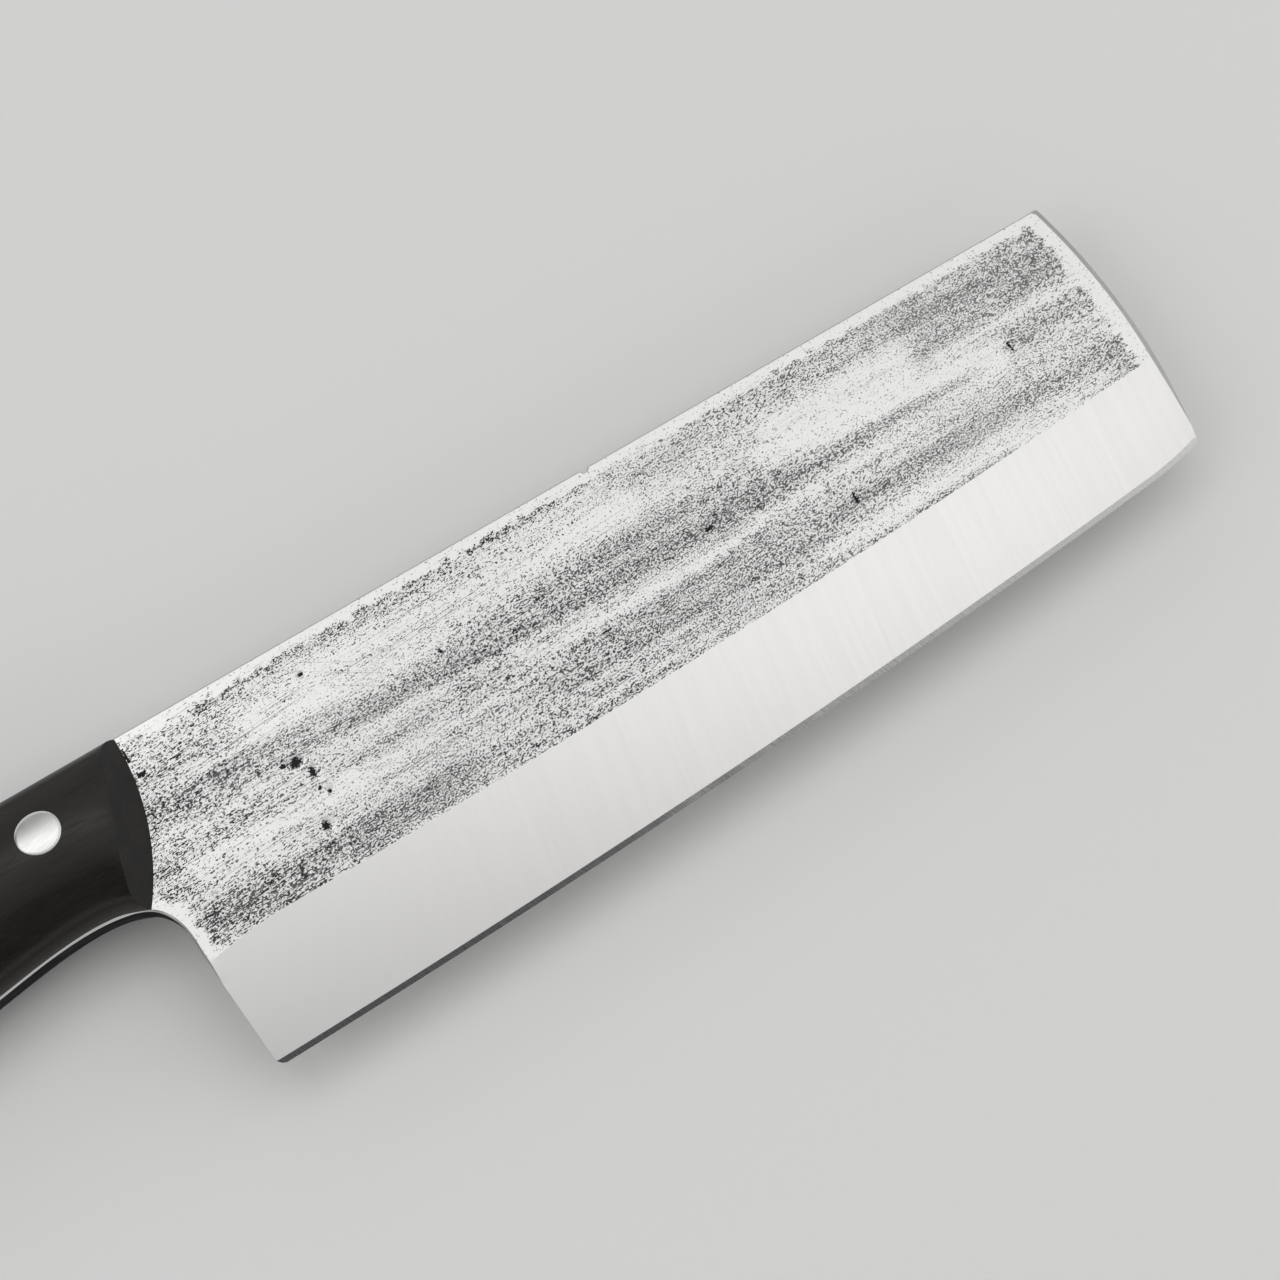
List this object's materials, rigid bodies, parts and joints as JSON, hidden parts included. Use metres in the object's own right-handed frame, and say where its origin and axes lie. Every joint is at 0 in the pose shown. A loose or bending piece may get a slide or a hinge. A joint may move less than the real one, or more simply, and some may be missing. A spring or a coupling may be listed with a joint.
{
  "type": "nakiri knife",
  "caption": "Kitchen knife with a tall straight-edged blade for vegetables, a full tang and a riveted wood handle.",
  "frame": {"origin": "the knife lies on its side, and the origin is under the middle of its outline, level with the lowest point of the far scale", "axes": "+X from the butt to the tip, +Y from the cutting edge to the spine, +Z square out of the near side of the blade"},
  "size_m": [0.2849, 0.0548, 0.0176],
  "materials": {
    "blade_steel": "forged skin on the flats, satin ground bevel, polished spine, choil and tang rim",
    "scale_wood": "near-black dense wood, oiled to a soft satin, with fine grain along the handle",
    "rivet_metal": "pale nickel metal, ground flush with the wood and polished"
  },
  "bodies": {
    "root": {"blade": "blade_steel", "scale_near": "scale_wood", "scale_far": "scale_wood", "rivet_front_stud": "rivet_metal", "rivet_front_socket": "rivet_metal", "rivet_middle_stud": "rivet_metal", "rivet_middle_socket": "rivet_metal", "rivet_rear_stud": "rivet_metal", "rivet_rear_socket": "rivet_metal"}
  },
  "joints": []
}
